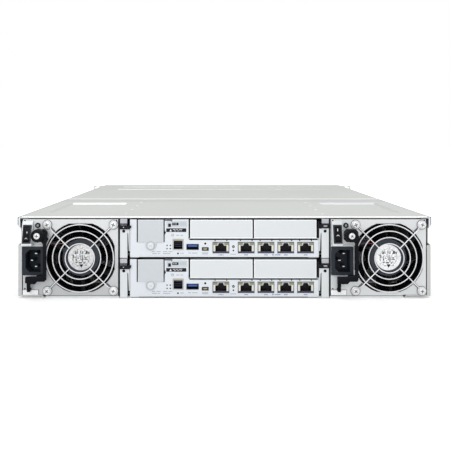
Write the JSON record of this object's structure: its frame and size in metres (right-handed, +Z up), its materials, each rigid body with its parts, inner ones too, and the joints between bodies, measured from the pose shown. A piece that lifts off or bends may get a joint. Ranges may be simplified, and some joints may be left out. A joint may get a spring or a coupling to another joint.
{
  "type": "disk shelf enclosure",
  "caption": "Two-unit rack disk shelf with twin controllers, two fan-cooled power modules, hinged pull levers and sliding drive trays.",
  "frame": {"origin": "middle of the flat base, half way along the depth of the chassis", "axes": "+Z up, -Y the service side with power modules and controllers, +Y the drive side, +X to the right of someone facing the service side"},
  "size_m": [0.4826, 0.5284, 0.0888],
  "materials": {
    "black_plastic": "black, fine texture",
    "blank_paint": "very light grey, satin",
    "chassis_steel": "plain zinc-coated sheet, dull",
    "circuit_board": "green board",
    "cover_paint": "light grey coated sheet, satin",
    "ear_paint": "pale grey powder coat",
    "face_paint": "very light grey, satin",
    "fan_plastic": "black",
    "fastener_steel": "bright plated",
    "guard_wire": "bright wire",
    "lever_paint": "white satin",
    "port_shield": "plated sheet",
    "psu_paint": "light grey plated, satin",
    "switch_plastic": "black",
    "tray_alloy": "dark grey bezel on a plain carrier",
    "tray_lever_plastic": "dark grey"
  },
  "bodies": {
    "chassis": {"chassis_tray": "chassis_steel", "rear_top_cover": "cover_paint", "front_top_cover": "cover_paint", "rack_ears": "ear_paint", "bay_walls": "chassis_steel", "drive_cage": "chassis_steel", "midplane": "circuit_board", "cover_fasteners": "fastener_steel"},
    "controller_lower": {"controller_lower_canister": "face_paint", "controller_lower_board": "circuit_board", "controller_lower_ports": "port_shield", "controller_lower_slot_blanks": "blank_paint"},
    "controller_lower_battery_module": {"controller_lower_battery": "face_paint"},
    "controller_lower_lever_left_arm": {"controller_lower_lever_left": "lever_paint"},
    "controller_lower_lever_right_arm": {"controller_lower_lever_right": "lever_paint"},
    "controller_upper": {"controller_upper_canister": "face_paint", "controller_upper_board": "circuit_board", "controller_upper_ports": "port_shield", "controller_upper_slot_blanks": "blank_paint"},
    "controller_upper_battery_module": {"controller_upper_battery": "face_paint"},
    "controller_upper_lever_left_arm": {"controller_upper_lever_left": "lever_paint"},
    "controller_upper_lever_right_arm": {"controller_upper_lever_right": "lever_paint"},
    "psu_left": {"psu_left_housing": "psu_paint", "psu_left_power_entry": "black_plastic", "psu_left_fan_frame": "fan_plastic", "psu_left_fan_guard": "guard_wire"},
    "psu_left_fan_wheel": {"psu_left_fan_rotor": "fan_plastic"},
    "psu_left_rocker": {"psu_left_switch_rocker": "switch_plastic"},
    "psu_left_pull_handle": {"psu_left_handle": "black_plastic"},
    "psu_right": {"psu_right_housing": "psu_paint", "psu_right_power_entry": "black_plastic", "psu_right_fan_frame": "fan_plastic", "psu_right_fan_guard": "guard_wire"},
    "psu_right_fan_wheel": {"psu_right_fan_rotor": "fan_plastic"},
    "psu_right_rocker": {"psu_right_switch_rocker": "switch_plastic"},
    "psu_right_pull_handle": {"psu_right_handle": "black_plastic"},
    "drive_11": {"drive_tray_11": "tray_alloy"},
    "drive_lever_11": {"tray_lever_11": "tray_lever_plastic"},
    "drive_12": {"drive_tray_12": "tray_alloy"},
    "drive_lever_12": {"tray_lever_12": "tray_lever_plastic"},
    "drive_13": {"drive_tray_13": "tray_alloy"},
    "drive_lever_13": {"tray_lever_13": "tray_lever_plastic"},
    "drive_21": {"drive_tray_21": "tray_alloy"},
    "drive_lever_21": {"tray_lever_21": "tray_lever_plastic"},
    "drive_22": {"drive_tray_22": "tray_alloy"},
    "drive_lever_22": {"tray_lever_22": "tray_lever_plastic"},
    "drive_23": {"drive_tray_23": "tray_alloy"},
    "drive_lever_23": {"tray_lever_23": "tray_lever_plastic"},
    "drive_31": {"drive_tray_31": "tray_alloy"},
    "drive_lever_31": {"tray_lever_31": "tray_lever_plastic"},
    "drive_32": {"drive_tray_32": "tray_alloy"},
    "drive_lever_32": {"tray_lever_32": "tray_lever_plastic"},
    "drive_33": {"drive_tray_33": "tray_alloy"},
    "drive_lever_33": {"tray_lever_33": "tray_lever_plastic"},
    "drive_41": {"drive_tray_41": "tray_alloy"},
    "drive_lever_41": {"tray_lever_41": "tray_lever_plastic"},
    "drive_42": {"drive_tray_42": "tray_alloy"},
    "drive_lever_42": {"tray_lever_42": "tray_lever_plastic"},
    "drive_43": {"drive_tray_43": "tray_alloy"},
    "drive_lever_43": {"tray_lever_43": "tray_lever_plastic"}
  },
  "joints": [
    {"name": "controller_lower_slide", "type": "slide", "parent": "chassis", "child": "controller_lower", "axis": [0, -1, 0], "range_m": [0, 0.29]},
    {"name": "controller_lower_battery_slide", "type": "slide", "parent": "controller_lower", "child": "controller_lower_battery_module", "axis": [0, -1, 0], "range_m": [0, 0.11]},
    {"name": "controller_lower_lever_left_hinge", "type": "hinge", "parent": "controller_lower", "child": "controller_lower_lever_left_arm", "pos_m": [-0.10865, -0.2485, 0.008], "axis": [1, 0, 0], "range_deg": [0, 80]},
    {"name": "controller_lower_lever_right_hinge", "type": "hinge", "parent": "controller_lower", "child": "controller_lower_lever_right_arm", "pos_m": [0.10865, -0.2485, 0.008], "axis": [1, 0, 0], "range_deg": [0, 80]},
    {"name": "controller_upper_slide", "type": "slide", "parent": "chassis", "child": "controller_upper", "axis": [0, -1, 0], "range_m": [0, 0.29]},
    {"name": "controller_upper_battery_slide", "type": "slide", "parent": "controller_upper", "child": "controller_upper_battery_module", "axis": [0, -1, 0], "range_m": [0, 0.11]},
    {"name": "controller_upper_lever_left_hinge", "type": "hinge", "parent": "controller_upper", "child": "controller_upper_lever_left_arm", "pos_m": [-0.10865, -0.2485, 0.0509], "axis": [1, 0, 0], "range_deg": [0, 80]},
    {"name": "controller_upper_lever_right_hinge", "type": "hinge", "parent": "controller_upper", "child": "controller_upper_lever_right_arm", "pos_m": [0.10865, -0.2485, 0.0509], "axis": [1, 0, 0], "range_deg": [0, 80]},
    {"name": "psu_left_slide", "type": "slide", "parent": "chassis", "child": "psu_left", "axis": [0, -1, 0], "range_m": [0, 0.29]},
    {"name": "psu_left_fan_spin", "type": "hinge", "parent": "psu_left", "child": "psu_left_fan_wheel", "pos_m": [-0.1555, -0.233, 0.0434], "axis": [0, 1, 0], "continuous": true},
    {"name": "psu_left_switch_rock", "type": "hinge", "parent": "psu_left", "child": "psu_left_rocker", "pos_m": [-0.2115, -0.25456, 0.0692], "axis": [1, 0, 0], "range_deg": [0, 16]},
    {"name": "psu_left_handle_hinge", "type": "hinge", "parent": "psu_left", "child": "psu_left_pull_handle", "pos_m": [-0.2099, -0.253, 0.01], "axis": [1, 0, 0], "range_deg": [0, 65]},
    {"name": "psu_right_slide", "type": "slide", "parent": "chassis", "child": "psu_right", "axis": [0, -1, 0], "range_m": [0, 0.29]},
    {"name": "psu_right_fan_spin", "type": "hinge", "parent": "psu_right", "child": "psu_right_fan_wheel", "pos_m": [0.1773, -0.233, 0.0434], "axis": [0, 1, 0], "continuous": true},
    {"name": "psu_right_switch_rock", "type": "hinge", "parent": "psu_right", "child": "psu_right_rocker", "pos_m": [0.1213, -0.25456, 0.0692], "axis": [1, 0, 0], "range_deg": [0, 16]},
    {"name": "psu_right_handle_hinge", "type": "hinge", "parent": "psu_right", "child": "psu_right_pull_handle", "pos_m": [0.1229, -0.253, 0.01], "axis": [1, 0, 0], "range_deg": [0, 65]},
    {"name": "drive_slide_11", "type": "slide", "parent": "chassis", "child": "drive_11", "axis": [0, 1, 0], "range_m": [0, 0.165]},
    {"name": "drive_lever_hinge_11", "type": "hinge", "parent": "drive_11", "child": "drive_lever_11", "pos_m": [-0.1159, 0.2576, 0.0106], "axis": [0, 0, -1], "range_deg": [0, 75]},
    {"name": "drive_slide_12", "type": "slide", "parent": "chassis", "child": "drive_12", "axis": [0, 1, 0], "range_m": [0, 0.165]},
    {"name": "drive_lever_hinge_12", "type": "hinge", "parent": "drive_12", "child": "drive_lever_12", "pos_m": [-0.1159, 0.2576, 0.038], "axis": [0, 0, -1], "range_deg": [0, 75]},
    {"name": "drive_slide_13", "type": "slide", "parent": "chassis", "child": "drive_13", "axis": [0, 1, 0], "range_m": [0, 0.165]},
    {"name": "drive_lever_hinge_13", "type": "hinge", "parent": "drive_13", "child": "drive_lever_13", "pos_m": [-0.1159, 0.2576, 0.0654], "axis": [0, 0, -1], "range_deg": [0, 75]},
    {"name": "drive_slide_21", "type": "slide", "parent": "chassis", "child": "drive_21", "axis": [0, 1, 0], "range_m": [0, 0.165]},
    {"name": "drive_lever_hinge_21", "type": "hinge", "parent": "drive_21", "child": "drive_lever_21", "pos_m": [-0.0069, 0.2576, 0.0106], "axis": [0, 0, -1], "range_deg": [0, 75]},
    {"name": "drive_slide_22", "type": "slide", "parent": "chassis", "child": "drive_22", "axis": [0, 1, 0], "range_m": [0, 0.165]},
    {"name": "drive_lever_hinge_22", "type": "hinge", "parent": "drive_22", "child": "drive_lever_22", "pos_m": [-0.0069, 0.2576, 0.038], "axis": [0, 0, -1], "range_deg": [0, 75]},
    {"name": "drive_slide_23", "type": "slide", "parent": "chassis", "child": "drive_23", "axis": [0, 1, 0], "range_m": [0, 0.165]},
    {"name": "drive_lever_hinge_23", "type": "hinge", "parent": "drive_23", "child": "drive_lever_23", "pos_m": [-0.0069, 0.2576, 0.0654], "axis": [0, 0, -1], "range_deg": [0, 75]},
    {"name": "drive_slide_31", "type": "slide", "parent": "chassis", "child": "drive_31", "axis": [0, 1, 0], "range_m": [0, 0.165]},
    {"name": "drive_lever_hinge_31", "type": "hinge", "parent": "drive_31", "child": "drive_lever_31", "pos_m": [0.1021, 0.2576, 0.0106], "axis": [0, 0, -1], "range_deg": [0, 75]},
    {"name": "drive_slide_32", "type": "slide", "parent": "chassis", "child": "drive_32", "axis": [0, 1, 0], "range_m": [0, 0.165]},
    {"name": "drive_lever_hinge_32", "type": "hinge", "parent": "drive_32", "child": "drive_lever_32", "pos_m": [0.1021, 0.2576, 0.038], "axis": [0, 0, -1], "range_deg": [0, 75]},
    {"name": "drive_slide_33", "type": "slide", "parent": "chassis", "child": "drive_33", "axis": [0, 1, 0], "range_m": [0, 0.165]},
    {"name": "drive_lever_hinge_33", "type": "hinge", "parent": "drive_33", "child": "drive_lever_33", "pos_m": [0.1021, 0.2576, 0.0654], "axis": [0, 0, -1], "range_deg": [0, 75]},
    {"name": "drive_slide_41", "type": "slide", "parent": "chassis", "child": "drive_41", "axis": [0, 1, 0], "range_m": [0, 0.165]},
    {"name": "drive_lever_hinge_41", "type": "hinge", "parent": "drive_41", "child": "drive_lever_41", "pos_m": [0.2111, 0.2576, 0.0106], "axis": [0, 0, -1], "range_deg": [0, 75]},
    {"name": "drive_slide_42", "type": "slide", "parent": "chassis", "child": "drive_42", "axis": [0, 1, 0], "range_m": [0, 0.165]},
    {"name": "drive_lever_hinge_42", "type": "hinge", "parent": "drive_42", "child": "drive_lever_42", "pos_m": [0.2111, 0.2576, 0.038], "axis": [0, 0, -1], "range_deg": [0, 75]},
    {"name": "drive_slide_43", "type": "slide", "parent": "chassis", "child": "drive_43", "axis": [0, 1, 0], "range_m": [0, 0.165]},
    {"name": "drive_lever_hinge_43", "type": "hinge", "parent": "drive_43", "child": "drive_lever_43", "pos_m": [0.2111, 0.2576, 0.0654], "axis": [0, 0, -1], "range_deg": [0, 75]}
  ]
}
